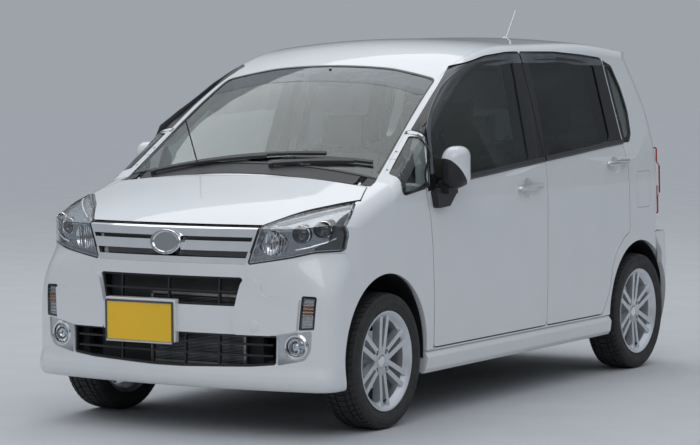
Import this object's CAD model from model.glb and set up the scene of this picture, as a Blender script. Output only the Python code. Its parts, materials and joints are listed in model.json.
"""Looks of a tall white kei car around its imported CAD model, in metres."""

import json
import math

import bmesh
import bpy
import numpy as np
from mathutils import Matrix, Quaternion, Vector
from mathutils.bvhtree import BVHTree
from mathutils.geometry import delaunay_2d_cdt


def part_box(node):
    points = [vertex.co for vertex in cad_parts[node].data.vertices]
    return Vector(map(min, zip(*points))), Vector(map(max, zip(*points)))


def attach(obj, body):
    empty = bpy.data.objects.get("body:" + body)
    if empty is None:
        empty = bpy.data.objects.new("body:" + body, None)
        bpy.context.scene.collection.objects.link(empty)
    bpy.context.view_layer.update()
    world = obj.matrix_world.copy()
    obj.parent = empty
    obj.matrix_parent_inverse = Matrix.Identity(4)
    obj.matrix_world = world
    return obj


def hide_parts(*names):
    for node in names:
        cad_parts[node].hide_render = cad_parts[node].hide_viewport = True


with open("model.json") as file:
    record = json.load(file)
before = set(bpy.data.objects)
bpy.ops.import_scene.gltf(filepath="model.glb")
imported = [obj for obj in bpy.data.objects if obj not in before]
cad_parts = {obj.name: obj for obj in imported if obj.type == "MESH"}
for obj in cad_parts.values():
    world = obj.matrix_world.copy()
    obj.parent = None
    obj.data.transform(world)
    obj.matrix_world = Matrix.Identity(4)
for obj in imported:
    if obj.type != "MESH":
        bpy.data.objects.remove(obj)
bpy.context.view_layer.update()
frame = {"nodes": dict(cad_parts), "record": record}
NODES = frame["nodes"]

bl_info = {
    "name": "Kei Car Looks",
    "version": (1, 0, 0),
    "blender": (4, 5, 0),
    "location": "View3D > Sidebar > Kei Car",
    "description": "Finishes, trim, lamps, cabin and stage of a kei car",
    "category": "Object",
}

PHOTO_WIDTH = 700
PHOTO_HEIGHT = 445
# Pixel that the camera's axis passes through
PHOTO_CENTRE = (333.26, 241.45)
SENSOR = 36.0
VIEW_REACH = 200.0
FLOOR_REACH = 60.0


# Shader helpers
def principled(name, color, roughness, metallic=0.0, **sockets):
    """New material with one Principled shader, and that shader."""
    material = bpy.data.materials.new(name)
    material.use_nodes = True
    shader = material.node_tree.nodes["Principled BSDF"]
    shader.inputs["Base Color"].default_value = (*color, 1.0)
    shader.inputs["Roughness"].default_value = roughness
    shader.inputs["Metallic"].default_value = metallic
    for socket, value in sockets.items():
        shader.inputs[socket.replace("_", " ")].default_value = value
    return material


def object_noise(material, scale, detail=3.0, stretch=(1.0, 1.0, 1.0)):
    """Noise over the object's own coordinates."""
    tree = material.node_tree
    coordinates = tree.nodes.new("ShaderNodeTexCoord")
    mapping = tree.nodes.new("ShaderNodeMapping")
    mapping.inputs["Scale"].default_value = stretch
    noise = tree.nodes.new("ShaderNodeTexNoise")
    noise.inputs["Scale"].default_value = scale
    noise.inputs["Detail"].default_value = detail
    tree.links.new(coordinates.outputs["Object"], mapping.inputs["Vector"])
    tree.links.new(mapping.outputs["Vector"], noise.inputs["Vector"])
    return noise


def object_cells(material, scale):
    """Cell pattern over the object's own coordinates."""
    tree = material.node_tree
    coordinates = tree.nodes.new("ShaderNodeTexCoord")
    cells = tree.nodes.new("ShaderNodeTexVoronoi")
    cells.inputs["Scale"].default_value = scale
    tree.links.new(coordinates.outputs["Object"], cells.inputs["Vector"])
    return cells


def vary_color(material, noise, dark, light):
    """Colour that wanders between two shades."""
    tree = material.node_tree
    ramp = tree.nodes.new("ShaderNodeValToRGB")
    ramp.color_ramp.elements[0].position = 0.3
    ramp.color_ramp.elements[0].color = (*dark, 1.0)
    ramp.color_ramp.elements[1].position = 0.7
    ramp.color_ramp.elements[1].color = (*light, 1.0)
    tree.links.new(noise.outputs[0], ramp.inputs["Fac"])
    tree.links.new(ramp.outputs["Color"], tree.nodes["Principled BSDF"].inputs["Base Color"])


def vary_roughness(material, noise, low, high):
    """Roughness that wanders between two values."""
    tree = material.node_tree
    spread = tree.nodes.new("ShaderNodeMapRange")
    spread.inputs["From Min"].default_value = 0.25
    spread.inputs["From Max"].default_value = 0.75
    spread.inputs["To Min"].default_value = low
    spread.inputs["To Max"].default_value = high
    tree.links.new(noise.outputs[0], spread.inputs["Value"])
    tree.links.new(spread.outputs["Result"], tree.nodes["Principled BSDF"].inputs["Roughness"])


def raise_grain(material, pattern, strength, distance):
    """Bump from a pattern."""
    tree = material.node_tree
    bump = tree.nodes.new("ShaderNodeBump")
    bump.inputs["Strength"].default_value = strength
    bump.inputs["Distance"].default_value = distance
    tree.links.new(pattern.outputs[0], bump.inputs["Height"])
    tree.links.new(bump.outputs["Normal"], tree.nodes["Principled BSDF"].inputs["Normal"])


def shade(color, factor):
    """A lighter or darker shade of a colour."""
    return tuple(min(1.0, channel * factor) for channel in color)


# Finishes of the car
def pearl_paint(color):
    material = principled("pearl_paint", color, 0.32, Coat_Weight=1.0, Coat_Roughness=0.03)
    flake = object_noise(material, 900.0, 1.0)
    vary_roughness(material, flake, 0.28, 0.4)
    vary_color(material, object_noise(material, 6.0, 2.0), shade(color, 0.975), color)
    return material


def window_glass(name, tint, haze=0.0):
    material = principled(name, tint, haze, Transmission_Weight=1.0, IOR=1.45)
    film = object_noise(material, 3.0, 4.0)
    vary_color(material, film, shade(tint, 0.97), tint)
    return material


def moulded_plastic(name, color, roughness=0.5, grain=700.0, depth=0.0004):
    material = principled(name, color, roughness)
    vary_color(material, object_noise(material, 14.0), shade(color, 0.85), shade(color, 1.15))
    raise_grain(material, object_cells(material, grain), 0.35, depth)
    return material


def plate_enamel(color):
    material = principled("plate_enamel", color, 0.3)
    vary_color(material, object_noise(material, 5.0, 2.0), shade(color, 0.97), color)
    raise_grain(material, object_noise(material, 500.0, 2.0), 0.15, 0.0002)
    return material


def bare_metal(name, color, roughness, brushed=(1.0, 1.0, 1.0), scale=60.0, metallic=1.0):
    material = principled(name, color, roughness, metallic)
    grain = object_noise(material, scale, 5.0, brushed)
    vary_roughness(material, grain, roughness * 0.8, roughness * 1.25)
    vary_color(material, object_noise(material, 9.0), shade(color, 0.92), color)
    return material


def tyre_rubber():
    color = (0.022, 0.022, 0.024)
    material = principled("tyre_rubber", color, 0.72)
    dust = object_noise(material, 22.0, 6.0)
    vary_color(material, dust, color, (0.042, 0.040, 0.038))
    raise_grain(material, object_noise(material, 400.0, 3.0), 0.3, 0.0006)
    return material


def woven_cloth(name, color):
    material = principled(name, color, 0.9, Sheen_Weight=0.25)
    tree = material.node_tree
    coordinates = tree.nodes.new("ShaderNodeTexCoord")
    weave = tree.nodes.new("ShaderNodeTexVoronoi")
    weave.inputs["Scale"].default_value = 420.0
    weave.inputs["Randomness"].default_value = 0.25
    tree.links.new(coordinates.outputs["Object"], weave.inputs["Vector"])
    vary_color(material, weave, shade(color, 0.8), shade(color, 1.1))
    raise_grain(material, weave, 0.5, 0.0008)
    return material


FINISHES = {}


def make_finishes(settings):
    """Every finish of the car by name."""
    FINISHES.update(
        body_paint=pearl_paint(tuple(settings.paint_color)),
        clear_glass=window_glass("green_tinted_glass", (0.80, 0.86, 0.83)),
        dark_glass=window_glass("privacy_glass", tuple(settings.privacy_tint)),
        bright_trim=bare_metal("bright_chrome", (0.86, 0.87, 0.89), 0.07),
        lamp_silver=bare_metal("lamp_silver", (0.62, 0.64, 0.67), 0.22),
        lens=window_glass("lamp_lens", (0.95, 0.97, 0.98)),
        red_lens=principled("red_lamp_lens", (0.42, 0.012, 0.012), 0.12, Coat_Weight=1.0),
        black_plastic=moulded_plastic("black_plastic", (0.018, 0.018, 0.020), 0.42),
        gloss_black=principled("gloss_black", (0.012, 0.012, 0.014), 0.12, Coat_Weight=1.0),
        underbody=moulded_plastic("underseal", (0.035, 0.035, 0.037), 0.75, 160.0, 0.001),
        plate_yellow=plate_enamel((0.98, 0.60, 0.030)),
        dash_plastic=moulded_plastic("dash_grain", (0.40, 0.36, 0.29), 0.55),
        seat_fabric=woven_cloth("seat_weave", tuple(settings.seat_color)),
        cast_metal=bare_metal("cast_metal", (0.30, 0.30, 0.31), 0.5),
        chassis_black=moulded_plastic("chassis_black", (0.03, 0.03, 0.032), 0.5, 250.0),
        pipe_steel=bare_metal("pipe_steel", (0.38, 0.36, 0.34), 0.42),
        alloy=bare_metal("silver_alloy", (0.74, 0.76, 0.79), 0.34, metallic=0.75),
        tyre=tyre_rubber(),
        dark_plastic=moulded_plastic("dark_grained_plastic", (0.05, 0.05, 0.055), 0.5),
        sash_black=moulded_plastic("sash_black", (0.014, 0.014, 0.015), 0.28, 900.0, 0.0001),
        smoked_visor=moulded_plastic("smoked_visor", (0.115, 0.128, 0.145), 0.14, 900.0, 0.00005),
        belt_strip=moulded_plastic("belt_strip", (0.035, 0.036, 0.038), 0.38, 900.0, 0.0001),
        shade_band=window_glass("shade_band", (0.42, 0.46, 0.48)),
        side_glass=window_glass("side_glass", (0.36, 0.41, 0.38)),
        satin_silver=bare_metal("satin_silver", (0.72, 0.73, 0.74), 0.30),
        smoked_chrome=bare_metal("smoked_chrome", (0.34, 0.36, 0.39), 0.2),
        deep_lens=principled("deep_lens", (0.012, 0.014, 0.018), 0.04, Coat_Weight=1.0),
        amber_glass=principled("amber_glass", (0.46, 0.16, 0.045), 0.16, Coat_Weight=1.0),
        white_strip=moulded_plastic("white_strip", (0.80, 0.82, 0.84), 0.2, 900.0, 0.00005),
        bare_fins=bare_metal("bare_fins", (0.33, 0.34, 0.36), 0.38),
        dark_frame=moulded_plastic("dark_frame", (0.07, 0.075, 0.08), 0.3, 900.0, 0.0001),
        carpet=woven_cloth("carpet", (0.045, 0.043, 0.042)),
        headliner=woven_cloth("headliner", (0.52, 0.50, 0.46)),
        seat_piping=moulded_plastic("seat_piping", (0.16, 0.15, 0.13), 0.6, 900.0, 0.0002),
        beige_trim=moulded_plastic("beige_trim", (0.42, 0.38, 0.31), 0.6),
    )


# Mesh helpers, in metres
VIEWS = {
    "side": (Vector((-1, 0, 0)), lambda u, v: Vector((1.5, u, v))),
    "front": (Vector((0, 1, 0)), lambda u, v: Vector((u, -2.5, v))),
    "rear": (Vector((0, -1, 0)), lambda u, v: Vector((u, 2.5, v))),
    "plan": (Vector((0, 0, -1)), lambda u, v: Vector((u, v, 2.5))),
    "cabin": (Vector((1, 0, 0)), lambda u, v: Vector((0.1, u, v))),
}
TREES = {}
SHARP = math.radians(32)


def millimetres(rows):
    """Corners of a table in millimetres as metres."""
    return [tuple(value / 1000 for value in row) for row in rows]


def rounded(corners, step=0.012):
    """Outline through (u, v, radius) corners, each rounded by an arc."""
    points = []
    count = len(corners)
    for index, (u, v, radius) in enumerate(corners):
        here = np.array((u, v))
        back = np.array(corners[index - 1][:2]) - here
        ahead = np.array(corners[(index + 1) % count][:2]) - here
        reach_limit = min(np.linalg.norm(back), np.linalg.norm(ahead)) * 0.49
        back /= np.linalg.norm(back)
        ahead /= np.linalg.norm(ahead)
        half = math.acos(float(np.clip(back @ ahead, -1, 1))) / 2
        if radius <= 0 or half > math.radians(88.5):
            points.append(here)
            continue
        reach = min(radius / math.tan(half), reach_limit)
        radius = reach * math.tan(half)
        centre = here + (back + ahead) / np.linalg.norm(back + ahead) * radius / math.sin(half)
        start = here + back * reach - centre
        end = here + ahead * reach - centre
        sweep = math.pi - 2 * half
        turn = 1 if start[0] * end[1] - start[1] * end[0] > 0 else -1
        steps = max(2, math.ceil(sweep / math.radians(12)))
        for k in range(steps + 1):
            angle = turn * sweep * k / steps
            cos, sin = math.cos(angle), math.sin(angle)
            points.append(centre + (cos * start[0] - sin * start[1], sin * start[0] + cos * start[1]))
    dense = []
    for index, point in enumerate(points):
        following = points[(index + 1) % len(points)]
        parts = max(1, math.ceil(np.linalg.norm(following - point) / step))
        dense.extend(point + (following - point) * k / parts for k in range(parts))
    return [tuple(point) for point in dense]


def offset(corners, distance):
    """Corners moved outwards by a distance, with their radii kept in step."""
    points = np.array([corner[:2] for corner in corners], float)
    area = np.sum(
        points[:, 0] * np.roll(points[:, 1], -1) - points[:, 1] * np.roll(points[:, 0], -1)
    )
    side = 1 if area > 0 else -1
    moved = []
    for index, (point, corner) in enumerate(zip(points, corners)):
        before = point - points[index - 1]
        after = points[(index + 1) % len(points)] - point
        first = np.array((before[1], -before[0])) / np.linalg.norm(before) * side
        second = np.array((after[1], -after[0])) / np.linalg.norm(after) * side
        middle = first + second
        middle *= distance / max(0.35, 1 + first @ second)
        moved.append((*(point + middle), max(0.0, corner[2] + distance)))
    return moved


def inside_of(points, outline):
    """Which of the points lie inside an outline."""
    edge = np.array(outline)
    following = np.roll(edge, -1, axis=0)
    result = np.zeros(len(points), bool)
    for (u0, v0), (u1, v1) in zip(edge, following):
        if v0 == v1:
            continue
        crosses = (points[:, 1] > v0) != (points[:, 1] > v1)
        at = u0 + (points[:, 1] - v0) / (v1 - v0) * (u1 - u0)
        result ^= crosses & (points[:, 0] < at)
    return result


def surface_tree(names):
    """Search tree over the surfaces of some CAD nodes."""
    key = tuple(names)
    if key not in TREES:
        corners, faces = [], []
        for name in key:
            mesh = NODES[name].data
            start = len(corners)
            corners.extend(NODES[name].matrix_world @ vertex.co for vertex in mesh.vertices)
            faces.extend([start + i for i in face.vertices] for face in mesh.polygons)
        TREES[key] = BVHTree.FromPolygons(corners, faces)
    return TREES[key]


def on_surface(nodes, view, u, v, lift=0.0):
    """Point of some nodes' surface at (u, v) of a view, moved out by lift."""
    way, place = VIEWS[view]
    start = place(u, v)
    tree = surface_tree(nodes)
    hit = tree.ray_cast(start, way)[0] or tree.find_nearest(start + way * 0.8)[0]
    return start + way * ((hit - start) @ way - lift)


def flat_cells(outline, holes, spacing):
    """Points and triangles that fill an outline around its holes."""
    rings = [outline, *holes]
    points = [point for ring in rings for point in ring]
    edges = []
    start = 0
    for ring in rings:
        edges.extend((start + k, start + (k + 1) % len(ring)) for k in range(len(ring)))
        start += len(ring)
    low = np.min(outline, axis=0)
    high = np.max(outline, axis=0)
    grid_u, grid_v = np.meshgrid(
        np.arange(low[0] + spacing / 2, high[0], spacing),
        np.arange(low[1] + spacing / 2, high[1], spacing),
    )
    grid = np.column_stack((grid_u.ravel(), grid_v.ravel()))
    if len(grid):
        keep = inside_of(grid, outline)
        for hole in holes:
            keep &= ~inside_of(grid, hole)
        grid = grid[keep]
        ring_points = np.array(points)
        near = [np.min(np.linalg.norm(ring_points - p, axis=1)) > spacing * 0.35 for p in grid]
        points = points + [tuple(p) for p in grid[near]] if len(grid) else points
    flat = [Vector(point) for point in points]
    corners, _edges, faces, *_rest = delaunay_2d_cdt(flat, edges, [], 0, 1e-6)
    middles = np.array([np.mean([corners[i][:] for i in face], axis=0) for face in faces])
    keep = inside_of(middles, outline)
    for hole in holes:
        keep &= ~inside_of(middles, hole)
    return corners, [face for face, kept in zip(faces, keep) if kept]


def evened(flat, depths):
    """Depths from one cubic surface laid through them, without the outliers."""
    u, v = (flat - flat.mean(axis=0)).T
    terms = np.column_stack([u**i * v**j for i in range(4) for j in range(4 - i)])
    kept = np.isfinite(depths)
    for limit in (0.05, 0.012, 0.005):
        factors = np.linalg.lstsq(terms[kept], depths[kept], rcond=None)[0]
        kept = np.isfinite(depths) & (np.abs(terms @ factors - depths) < limit)
    return terms @ factors


def skin_patch(view, outline, holes, nodes, lift, thickness, spacing=0.03, even=False):
    """Thin sheet that follows the surface of CAD nodes within an outline of one view.

    An even sheet follows one smooth surface and not each step of the nodes."""
    way, place = VIEWS[view]
    tree = surface_tree(nodes)
    corners, faces = flat_cells(outline, holes, spacing)
    depths = np.full(len(corners), np.nan)
    for k, corner in enumerate(corners):
        distance = tree.ray_cast(place(*corner), way)[3]
        if distance is not None:
            depths[k] = distance
    flat = np.array([corner[:] for corner in corners])
    known = np.isfinite(depths)
    for k in np.flatnonzero(~known):
        nearest = np.argmin(np.linalg.norm(flat[known] - flat[k], axis=1))
        depths[k] = depths[known][nearest]
    if even:
        depths = evened(flat, depths)
    top, bottom = [], []
    for depth, corner in zip(depths, corners):
        depth = float(depth)
        start = place(*corner)
        top.append(start + way * (depth - lift))
        bottom.append(start + way * (depth - lift + thickness))
    return closed_sheet(top, bottom, faces)


def closed_sheet(top, bottom, faces):
    """Mesh between two matching sheets with walls along their free edges."""
    mesh = bmesh.new()
    upper = [mesh.verts.new(point) for point in top]
    lower = [mesh.verts.new(point) for point in bottom]
    count = {}
    for face in faces:
        for a, b in zip(face, (*face[1:], face[0])):
            count[frozenset((a, b))] = count.get(frozenset((a, b)), 0) + 1
    for face in faces:
        mesh.faces.new([upper[i] for i in face])
        mesh.faces.new([lower[i] for i in reversed(face)])
        for a, b in zip(face, (*face[1:], face[0])):
            if count[frozenset((a, b))] == 1:
                mesh.faces.new((upper[b], upper[a], lower[a], lower[b]))
    bmesh.ops.delete(
        mesh, geom=[vertex for vertex in mesh.verts if not vertex.link_faces], context="VERTS"
    )
    bmesh.ops.recalc_face_normals(mesh, faces=mesh.faces)
    return mesh


def lathe(profile, start, way, steps=32, sweep=2 * math.pi):
    """Surface of a profile of (distance from the axis, distance along it) turned round."""
    mesh = bmesh.new()
    way = Vector(way).normalized()
    across = way.orthogonal().normalized()
    rings = []
    for radius, along in profile:
        base = Vector(start) + way * along
        if radius < 1e-6:
            rings.append([mesh.verts.new(base)] * steps)
            continue
        rings.append(
            [
                mesh.verts.new(base + Quaternion(way, sweep * k / steps) @ across * radius)
                for k in range(steps)
            ]
        )
    for first, second in zip(rings, rings[1:]):
        for k in range(steps):
            ahead = (k + 1) % steps
            corners = []
            for vertex in (first[k], first[ahead], second[ahead], second[k]):
                if vertex not in corners:
                    corners.append(vertex)
            if len(corners) > 2:
                mesh.faces.new(corners)
    bmesh.ops.recalc_face_normals(mesh, faces=mesh.faces)
    return mesh


def swept(path, outline, closed=False, twist=None):
    """Bar with a cross-section outline carried along a path."""
    mesh = bmesh.new()
    path = [Vector(point) for point in path]
    count = len(path)
    rings = []
    up = Vector(twist) if twist else Vector((0, 0, 1))
    for k, point in enumerate(path):
        before = path[k - 1] if k or closed else point
        after = path[(k + 1) % count] if k < count - 1 or closed else point
        run = (after - before).normalized()
        across = run.cross(up).normalized()
        rise = across.cross(run).normalized()
        rings.append([mesh.verts.new(point + across * u + rise * v) for u, v in outline])
    size = len(outline)
    pairs = zip(rings, rings[1:] + rings[:1]) if closed else zip(rings, rings[1:])
    for first, second in pairs:
        for k in range(size):
            ahead = (k + 1) % size
            mesh.faces.new((first[k], first[ahead], second[ahead], second[k]))
    if not closed:
        mesh.faces.new(rings[0])
        mesh.faces.new(list(reversed(rings[-1])))
    bmesh.ops.recalc_face_normals(mesh, faces=mesh.faces)
    return mesh


def oval(width, height, count=12):
    """Outline of an ellipse."""
    turns = [2 * math.pi * k / count for k in range(count)]
    return [(width / 2 * math.cos(turn), height / 2 * math.sin(turn)) for turn in turns]


def box(low, high, bevel=0.0):
    """Upright box with bevelled edges."""
    mesh = bmesh.new()
    bmesh.ops.create_cube(mesh, size=1.0)
    low, high = Vector(low), Vector(high)
    for vertex in mesh.verts:
        vertex.co = Vector(
            [low[i] + (vertex.co[i] + 0.5) * (high[i] - low[i]) for i in range(3)]
        )
    if bevel:
        bmesh.ops.bevel(
            mesh, geom=mesh.edges[:], offset=bevel, segments=2, affect="EDGES", profile=0.5
        )
    return mesh


def node_skin(name, cuts, keep, lift):
    """Copy of part of a CAD node's surface, moved outwards by a hair.

    cuts are (point, normal) planes, and what lies behind them is dropped. keep picks faces."""
    mesh = bmesh.new()
    mesh.from_mesh(NODES[name].data)
    bmesh.ops.transform(mesh, matrix=NODES[name].matrix_world, verts=mesh.verts)
    bmesh.ops.remove_doubles(mesh, verts=mesh.verts, dist=2e-6)
    for point, normal in cuts:
        everything = mesh.verts[:] + mesh.edges[:] + mesh.faces[:]
        bmesh.ops.bisect_plane(
            mesh, geom=everything, plane_co=point, plane_no=normal, clear_inner=True
        )
    if keep:
        mesh.normal_update()
        dropped = [
            face for face in mesh.faces if not keep(face.calc_center_median(), face.normal)
        ]
        bmesh.ops.delete(mesh, geom=dropped, context="FACES")
    mesh.normal_update()
    moves = [(vertex, vertex.normal * lift) for vertex in mesh.verts]
    for vertex, move in moves:
        vertex.co += move
    return mesh


def joined(meshes):
    """One mesh from several."""
    whole = bmesh.new()
    for mesh in meshes:
        data = bpy.data.meshes.new("joined")
        mesh.to_mesh(data)
        mesh.free()
        whole.from_mesh(data)
        bpy.data.meshes.remove(data)
    return whole


def across_car(mesh):
    """Mirror image of a mesh on the car's other side."""
    twin = mesh.copy()
    bmesh.ops.transform(twin, matrix=Matrix.Diagonal((-1, 1, 1, 1)), verts=twin.verts)
    bmesh.ops.reverse_faces(twin, faces=twin.faces)
    return twin


def piece(name, mesh, finish, body="body", smooth=True):
    """Finished object of the scene that rides on one CAD body."""
    data = bpy.data.meshes.new(name)
    if isinstance(mesh, bmesh.types.BMesh):
        mesh.to_mesh(data)
        mesh.free()
    else:
        data = mesh
        data.name = name
    data.materials.clear()
    data.materials.append(FINISHES[finish])
    data.polygons.foreach_set("material_index", [0] * len(data.polygons))
    data.polygons.foreach_set("use_smooth", [smooth] * len(data.polygons))
    if smooth:
        data.set_sharp_from_angle(angle=SHARP)
    holder = bpy.data.objects.new(name, data)
    bpy.context.collection.objects.link(holder)
    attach(holder, body)
    return holder


def both_pieces(name, mesh, finish, bodies=("body", "body")):
    """A left-hand piece and its mirror image."""
    twin = across_car(mesh)
    piece(name + "_left", mesh, finish, bodies[0])
    piece(name + "_right", twin, finish, bodies[1])


# Geometry Nodes helpers
class Tree:
    """Node tree that is built for one modifier."""

    def __init__(self, name, **sizes):
        self.group = bpy.data.node_groups.new(name, "GeometryNodeTree")
        self.sockets = {}
        face = self.group.interface
        face.new_socket("Geometry", in_out="INPUT", socket_type="NodeSocketGeometry")
        for label, value in sizes.items():
            kind = "NodeSocketInt" if isinstance(value, int) else "NodeSocketFloat"
            if isinstance(value, tuple):
                kind = "NodeSocketVector"
            socket = face.new_socket(label, in_out="INPUT", socket_type=kind)
            socket.default_value = value
            self.sockets[label] = (socket.identifier, value)
        face.new_socket("Geometry", in_out="OUTPUT", socket_type="NodeSocketGeometry")
        self.start = self.group.nodes.new("NodeGroupInput")
        self.end = self.group.nodes.new("NodeGroupOutput")

    def node(self, kind, **values):
        """New node with some of its properties set."""
        made = self.group.nodes.new(kind)
        for name, value in values.items():
            setattr(made, name, value)
        return made

    def link(self, output, socket):
        self.group.links.new(output, socket)

    def finish(self, output, material):
        """End the tree in real geometry with one material."""
        real = self.node("GeometryNodeRealizeInstances")
        painted = self.node("GeometryNodeSetMaterial")
        painted.inputs["Material"].default_value = material
        self.link(output, real.inputs["Geometry"])
        self.link(real.outputs["Geometry"], painted.inputs["Geometry"])
        self.link(painted.outputs["Geometry"], self.end.inputs["Geometry"])

    def run(self, mesh):
        """Mesh that the tree makes from a start mesh."""
        data = bpy.data.meshes.new("start")
        mesh.to_mesh(data)
        mesh.free()
        holder = bpy.data.objects.new("start", data)
        bpy.context.collection.objects.link(holder)
        modifier = holder.modifiers.new("pattern", "NODES")
        modifier.node_group = self.group
        for identifier, value in self.sockets.values():
            modifier[identifier] = value
        graph = bpy.context.evaluated_depsgraph_get()
        result = bpy.data.meshes.new_from_object(holder.evaluated_get(graph), depsgraph=graph)
        bpy.data.objects.remove(holder)
        whole = bmesh.new()
        whole.from_mesh(result)
        bpy.data.meshes.remove(result)
        return whole


def ring_of_copies(name, mesh, count, finish):
    """Copies of a mesh turned about the x axis, a full circle in count steps."""
    tree = Tree(name, Count=count)
    points = tree.node("GeometryNodePoints")
    copies = tree.node("GeometryNodeInstanceOnPoints")
    index = tree.node("GeometryNodeInputIndex")
    share = tree.node("ShaderNodeMath", operation="DIVIDE")
    angle = tree.node("ShaderNodeMath", operation="MULTIPLY")
    angle.inputs[1].default_value = 2 * math.pi
    turn = tree.node("ShaderNodeCombineXYZ")
    tree.link(tree.start.outputs["Count"], points.inputs["Count"])
    tree.link(index.outputs[0], share.inputs[0])
    tree.link(tree.start.outputs["Count"], share.inputs[1])
    tree.link(share.outputs[0], angle.inputs[0])
    tree.link(angle.outputs[0], turn.inputs["X"])
    tree.link(points.outputs[0], copies.inputs["Points"])
    tree.link(tree.start.outputs["Geometry"], copies.inputs["Instance"])
    tree.link(turn.outputs[0], copies.inputs["Rotation"])
    tree.finish(copies.outputs["Instances"], FINISHES[finish])
    return tree.run(mesh)


def row_of_copies(name, mesh, count, step, finish):
    """Copies of a mesh in a straight row."""
    tree = Tree(name, Count=count, Step=tuple(step))
    row = tree.node("GeometryNodeMeshLine")
    copies = tree.node("GeometryNodeInstanceOnPoints")
    tree.link(tree.start.outputs["Count"], row.inputs["Count"])
    tree.link(tree.start.outputs["Step"], row.inputs["Offset"])
    tree.link(row.outputs[0], copies.inputs["Points"])
    tree.link(tree.start.outputs["Geometry"], copies.inputs["Instance"])
    tree.finish(copies.outputs["Instances"], FINISHES[finish])
    return tree.run(mesh)


# Settings
def length(name, description, default):
    """Setting in metres."""
    return bpy.props.FloatProperty(
        name=name, description=description, unit="LENGTH", default=default
    )


class KeiCarFinishSettings(bpy.types.PropertyGroup):
    """Colours of the car's finishes."""

    paint_color: bpy.props.FloatVectorProperty(
        name="Paint",
        description="Body colour",
        subtype="COLOR",
        size=3,
        min=0.0,
        max=1.0,
        default=(0.80, 0.815, 0.83),
    )
    privacy_tint: bpy.props.FloatVectorProperty(
        name="Privacy tint",
        description="Colour of the dark rear glass",
        subtype="COLOR",
        size=3,
        min=0.0,
        max=1.0,
        default=(0.10, 0.11, 0.12),
    )
    seat_color: bpy.props.FloatVectorProperty(
        name="Seat cloth",
        description="Colour of the seat covers",
        subtype="COLOR",
        size=3,
        min=0.0,
        max=1.0,
        default=(0.30, 0.28, 0.24),
    )


class KeiCarStageSettings(bpy.types.PropertyGroup):
    """Camera, floor and light."""

    azimuth: bpy.props.FloatProperty(
        name="Azimuth",
        description="Camera's angle round the car from its front",
        subtype="ANGLE",
        default=math.radians(31.305),
    )
    elevation: bpy.props.FloatProperty(
        name="Elevation",
        description="Camera's angle above the horizon",
        subtype="ANGLE",
        default=math.radians(3.985),
    )
    roll: bpy.props.FloatProperty(
        name="Roll",
        description="Camera's turn about its own view",
        subtype="ANGLE",
        default=math.radians(-0.28),
    )
    focal_pixels: bpy.props.FloatProperty(
        name="Focal length",
        description="Focal length in pixels of the picture",
        default=2621.19,
    )
    place: bpy.props.FloatVectorProperty(
        name="Place",
        description="Where the camera stands",
        subtype="TRANSLATION",
        unit="LENGTH",
        size=3,
        default=(6.0986, -10.4017, 1.5202),
    )
    floor_color: bpy.props.FloatVectorProperty(
        name="Floor",
        description="Colour of the studio floor",
        subtype="COLOR",
        size=3,
        min=0.0,
        max=1.0,
        default=(0.60, 0.606, 0.62),
    )
    backdrop_color: bpy.props.FloatVectorProperty(
        name="Backdrop",
        description="Colour behind the car",
        subtype="COLOR",
        size=3,
        min=0.0,
        max=1.0,
        default=(0.34, 0.367, 0.402),
    )
    sky_strength: bpy.props.FloatProperty(
        name="Sky strength",
        description="Brightness of the sky",
        default=1.0,
    )


class KeiCarTrimSettings(bpy.types.PropertyGroup):
    """Black trim round the windows."""

    trim_lift: length("Trim lift", "How far black film stands off the panel", 0.0006)
    visor_stand: length("Visor stand-off", "How far the visors stand off the door", 0.0035)
    belt_height: length("Belt strip", "Height of the strip under the door glass", 0.024)
    seal_width: length("Glass seal", "Width of the black edge of fixed glass", 0.012)


class KeiCarWheelSettings(bpy.types.PropertyGroup):
    """Pattern of the tyres."""

    pitches: bpy.props.IntProperty(
        name="Tread pitches",
        description="Tread blocks in one turn of the tyre",
        default=60,
    )
    rib_count: bpy.props.IntProperty(
        name="Shoulder ribs",
        description="Fine ribs in one turn of the tyre",
        default=120,
    )


class KeiCarSeatSettings(bpy.types.PropertyGroup):
    """Padding of the seats."""

    voxel: length("Cover mesh", "Cell size of the seat covers", 0.0085)


class KeiCarFrontSettings(bpy.types.PropertyGroup):
    """Radiator behind the intakes."""

    fin_pitch: length("Fin pitch", "Distance between the radiator's fins", 0.0058)


class KEICAR_OT_finish_nodes(bpy.types.Operator):
    """Give every CAD node its procedural finish"""

    bl_idname = "keicar.finish_nodes"
    bl_label = "Finish CAD parts"

    def execute(self, context):
        make_finishes(context.scene.kei_car_finish)
        slots = {row["node"]: row["material_slot"] for row in frame["record"]["subparts"]}
        slots.update(front_door_glass_left="side_glass", front_door_glass_right="side_glass")
        for name, node in NODES.items():
            for place in node.material_slots:
                place.material = FINISHES[slots[name]]
        return {"FINISHED"}


# Outlines of the body, as in the part's source: side y z, front x z, plan x y, radius
QUARTER_WINDOW = millimetres(
    [(-1037, 953, 25), (-1008, 1042, 25), (-756, 1210, 14), (-804, 990, 14)]
)
REAR_QUARTER_WINDOW = millimetres(
    [
        (1192, 1120, 14),
        (1172, 1493, 14),
        (1236, 1472, 25),
        (1284, 1365, 150),
        (1300, 1256, 150),
        (1275, 1150, 40),
        (1240, 1122, 25),
    ]
)
WINDSCREEN = millimetres(
    [
        (-632, -1046, 10),
        (-585, -738, 900),
        (-542, -392, 45),
        (-300, -357, 700),
        (300, -357, 700),
        (542, -392, 45),
        (585, -738, 900),
        (632, -1046, 10),
    ]
)
TAILGATE_WINDOW = millimetres([(-545, 1085, 50), (-490, 1466, 60), (490, 1466, 60), (545, 1085, 50)])
LAMP = millimetres(
    [
        (364, 697, 10),
        (421, 858, 22),
        (512, 903, 300),
        (621, 933, 300),
        (668, 943, 8),
        (705, 893, 200),
        (723, 830, 120),
        (716, 752, 14),
        (640, 750, 100),
        (560, 730, 200),
        (464, 713, 300),
    ]
)
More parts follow.
